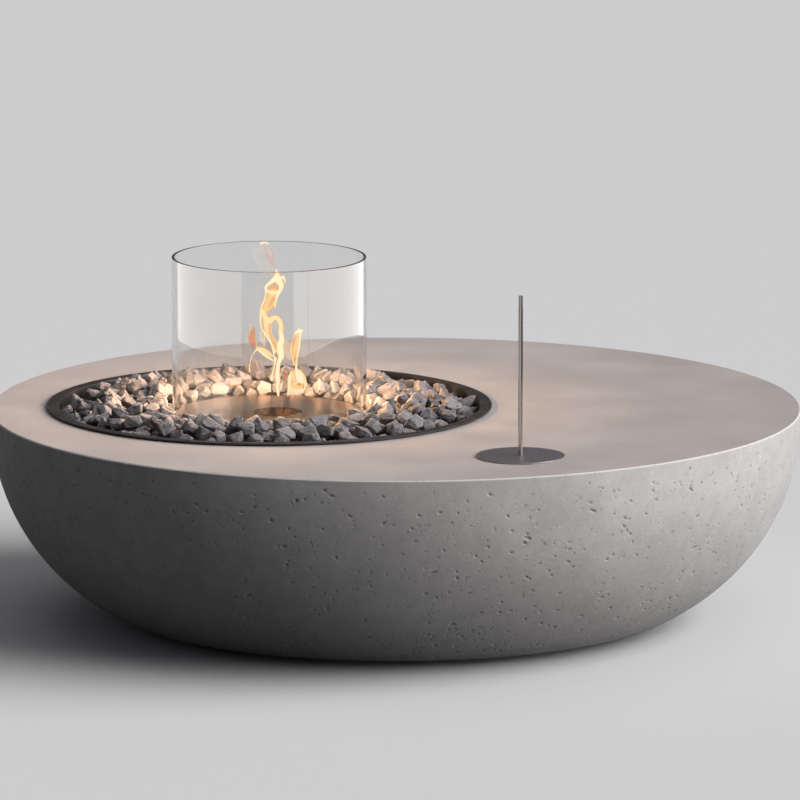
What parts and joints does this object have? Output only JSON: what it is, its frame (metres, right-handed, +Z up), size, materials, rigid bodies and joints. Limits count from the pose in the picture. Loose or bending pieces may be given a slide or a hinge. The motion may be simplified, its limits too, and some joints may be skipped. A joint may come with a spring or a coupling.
{
  "type": "fire pit table",
  "caption": "Round concrete fire pit table with an off-centre stone-filled steel pan, a lift-out liquid-fuel burner, a glass wind screen and a rod-handled snuffer.",
  "frame": {"origin": "on the floor under the middle of the bowl", "axes": "+Z up; -Y towards the side that the snuffer stands at; the fire pan sits off-centre towards -X"},
  "size_m": [1.5, 1.5, 0.684],
  "materials": {
    "cast_concrete": "light grey cast concrete, fine pores, lightly sealed",
    "graphite_coat": "graphite powder coat, fine texture, matt",
    "zinc_steel": "zinc-plated steel",
    "stainless": "stainless sheet, brushed",
    "snuffer_steel": "dark blackened stainless, fine brushed",
    "polished_rod": "ground stainless bar, satin",
    "bolt_steel": "stainless fastener",
    "black_rubber": "moulded rubber",
    "seal": "heat-proof seal strip",
    "ceramic_fibre": "white ceramic fibre mat",
    "clear_glass": "clear heat-proof glass, fire-polished rims",
    "basalt": "split basalt, matt, fine grain"
  },
  "bodies": {
    "table": {"concrete_bowl": "cast_concrete", "base_inserts": "zinc_steel", "base_plate": "graphite_coat", "base_screws": "bolt_steel", "floor_glides": "black_rubber", "fire_pan": "graphite_coat", "pan_gasket": "seal", "pan_brackets": "zinc_steel", "bracket_bolts": "bolt_steel", "bracket_nuts": "bolt_steel", "stone_shelf": "graphite_coat", "shelf_legs": "graphite_coat", "burner_stand": "graphite_coat", "stand_bolts": "bolt_steel", "stand_nuts": "bolt_steel", "stones_inner": "basalt", "stones_middle": "basalt", "stones_outer": "basalt"},
    "burner": {"burner_plate": "stainless", "mouth_ring": "stainless", "plate_studs": "bolt_steel", "cup_gasket": "seal", "fuel_cup": "stainless", "ceramic_wool": "ceramic_fibre", "wool_screen": "stainless", "burner_jacket": "stainless", "jacket_nuts": "bolt_steel", "glass_gasket": "seal"},
    "wind_screen": {"glass_screen": "clear_glass"},
    "snuffer": {"snuffer_disc": "snuffer_steel", "snuffer_rod": "polished_rod", "snuffer_screw": "bolt_steel"}
  },
  "joints": [
    {"name": "burner_lift", "type": "slide", "parent": "table", "child": "burner", "axis": [0, 0, 1], "range_m": [0, 0.15]},
    {"name": "screen_lift", "type": "slide", "parent": "burner", "child": "wind_screen", "axis": [0, 0, 1], "range_m": [0, 0.3]},
    {"name": "snuffer_lift", "type": "slide", "parent": "table", "child": "snuffer", "axis": [0, 0, 1], "range_m": [0, 0.3]}
  ]
}
